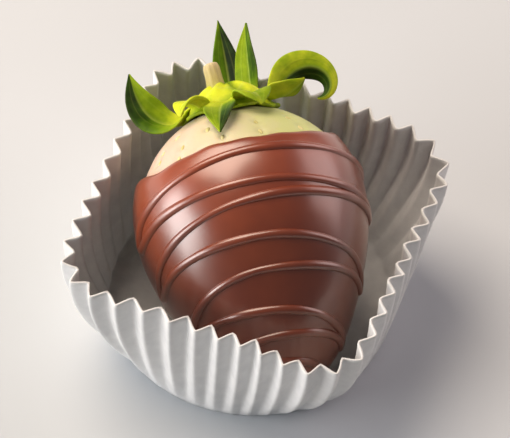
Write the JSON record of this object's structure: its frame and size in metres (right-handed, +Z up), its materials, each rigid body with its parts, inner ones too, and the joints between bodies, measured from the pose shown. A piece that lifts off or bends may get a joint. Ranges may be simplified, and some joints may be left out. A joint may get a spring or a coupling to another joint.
{
  "type": "chocolate coated strawberry",
  "caption": "Strawberry dipped in milk chocolate, with a bare pale shoulder, green calyx and cut stem, lying in a pleated paper case that is pressed square at its rim.",
  "frame": {"origin": "middle of the flat underside of the paper case", "axes": "+Z up; +Y towards the side of the case that the leaves point to; the berry's tip points to -Y and a little to +X"},
  "size_m": [0.0525, 0.0545, 0.0377],
  "materials": {
    "paper": "thin white greaseproof paper, matt, finely pleated",
    "flesh": "cream to pale green unripe shoulder of the fruit, moist",
    "chocolate": "set milk chocolate with a soft gloss and raised drizzled threads",
    "calyx": "fresh green leaf, satin, with a pale middle vein",
    "stem": "pale green stalk with a cream cut end"
  },
  "bodies": {
    "root": {"paper_case": "paper", "flesh": "flesh", "chocolate_coat": "chocolate", "calyx_collar": "calyx", "sepal_1": "calyx", "sepal_2": "calyx", "sepal_3": "calyx", "sepal_4": "calyx", "sepal_5": "calyx", "sepal_6": "calyx", "sepal_7": "calyx", "sepal_8": "calyx", "sepal_9": "calyx", "stem": "stem"}
  },
  "joints": []
}
